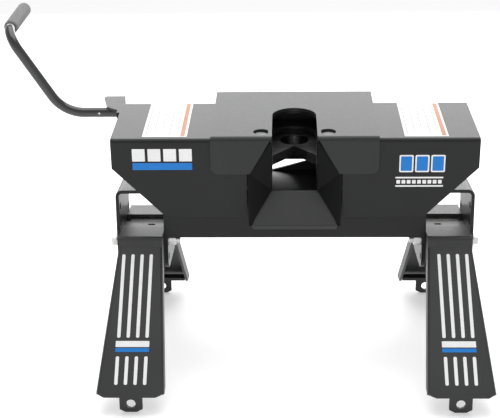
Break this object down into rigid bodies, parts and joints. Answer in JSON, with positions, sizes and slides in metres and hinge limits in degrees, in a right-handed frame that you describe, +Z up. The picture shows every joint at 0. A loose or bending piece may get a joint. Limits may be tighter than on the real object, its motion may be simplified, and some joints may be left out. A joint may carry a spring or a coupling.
{
  "type": "fifth wheel hitch",
  "caption": "Fifth wheel hitch: four-legged base, tilting skid plate with funnel, twin locking jaws, yoke and pull handle.",
  "frame": {"origin": "centre of the four rail tabs, level with their lower edges", "axes": "+X to the right with the handle on -X, +Y towards the cab, so the funnel opens to -Y, and +Z up"},
  "size_m": [0.8814, 0.596, 0.6225],
  "materials": {
    "black_powder_coat": "semi-gloss black powder coat over steel",
    "leg_powder_coat": "satin black powder coat, slightly textured",
    "zinc_plate": "clear zinc plate",
    "bare_steel": "greased dark forged steel",
    "spring_steel": "oiled spring steel",
    "rod_gloss_black": "gloss black paint on round bar",
    "grip_rubber": "matt ribbed vinyl-rubber grip",
    "bumper_rubber": "matt black rubber",
    "label_white": "printed vinyl label, plain shapes only"
  },
  "bodies": {
    "base": {"crossmember": "black_powder_coat", "web_front": "black_powder_coat", "web_rear": "black_powder_coat", "upright_left": "black_powder_coat", "upright_right": "black_powder_coat", "tie_left": "black_powder_coat", "tie_right": "black_powder_coat", "leg_front_left": "leg_powder_coat", "leg_front_right": "leg_powder_coat", "leg_rear_left": "leg_powder_coat", "leg_rear_right": "leg_powder_coat", "tab_front_left": "leg_powder_coat", "tab_front_right": "leg_powder_coat", "tab_rear_left": "leg_powder_coat", "tab_rear_right": "leg_powder_coat", "leg_spacers": "zinc_plate", "leg_bolts": "zinc_plate", "leg_washers": "zinc_plate", "leg_nuts": "zinc_plate", "pivot_stand_left": "black_powder_coat", "pivot_stand_right": "black_powder_coat", "pivot_bolts": "zinc_plate", "pivot_nuts": "zinc_plate", "tilt_bumpers": "bumper_rubber", "tilt_stop": "black_powder_coat"},
    "head": {"skid_plate": "black_powder_coat", "centre_plate": "black_powder_coat", "funnel_wall_left": "black_powder_coat", "funnel_wall_right": "black_powder_coat", "funnel_ramp": "black_powder_coat", "head_rib_left": "black_powder_coat", "head_rib_right": "black_powder_coat", "carrier_top": "black_powder_coat", "carrier_bottom": "black_powder_coat", "carrier_studs": "zinc_plate", "jaw_pivot_pins": "zinc_plate", "jaw_pin_clips": "zinc_plate", "yoke_rail_left": "bare_steel", "yoke_rail_right": "bare_steel", "rod_guide_left": "black_powder_coat", "rod_guide_right": "black_powder_coat", "handle_bracket": "black_powder_coat", "handle_spring": "spring_steel"},
    "handle": {"handle_rod": "rod_gloss_black", "handle_collar": "zinc_plate", "drive_lug": "bare_steel", "drive_pin": "zinc_plate", "handle_grip": "grip_rubber"},
    "yoke": {"yoke": "bare_steel"},
    "jaw_left": {"jaw_left": "bare_steel", "jaw_pin_left": "zinc_plate"},
    "jaw_right": {"jaw_right": "bare_steel", "jaw_pin_right": "zinc_plate"}
  },
  "joints": [
    {"name": "head_tilt", "type": "hinge", "parent": "base", "child": "head", "pos_m": [0, 0, 0.372], "axis": [-1, 0, 0], "range_deg": [0, 13]},
    {"name": "handle_pull", "type": "slide", "parent": "head", "child": "handle", "axis": [-1, 0, 0], "range_m": [0, 0.075], "stiffness_N_per_m": 400, "springref_m": -0.05, "deforming": ["handle_spring"]},
    {"name": "yoke_slide", "type": "slide", "parent": "head", "child": "yoke", "axis": [0, 0.9925, 0.1219], "range_m": [0, 0.03]},
    {"name": "jaw_left_swing", "type": "hinge", "parent": "head", "child": "jaw_left", "pos_m": [-0.062, -0.06297, 0.39155], "axis": [0, -0.1219, 0.9925], "range_deg": [0, 45]},
    {"name": "jaw_right_swing", "type": "hinge", "parent": "head", "child": "jaw_right", "pos_m": [0.062, -0.06297, 0.39155], "axis": [0, 0.1219, -0.9925], "range_deg": [0, 45]}
  ],
  "couplings": [
    {"joint": "yoke_slide", "follows": "handle_pull", "ratio": 0.4},
    {"joint": "jaw_left_swing", "follows": "handle_pull", "rad_per_m": 10.472},
    {"joint": "jaw_right_swing", "follows": "handle_pull", "rad_per_m": 10.472}
  ]
}
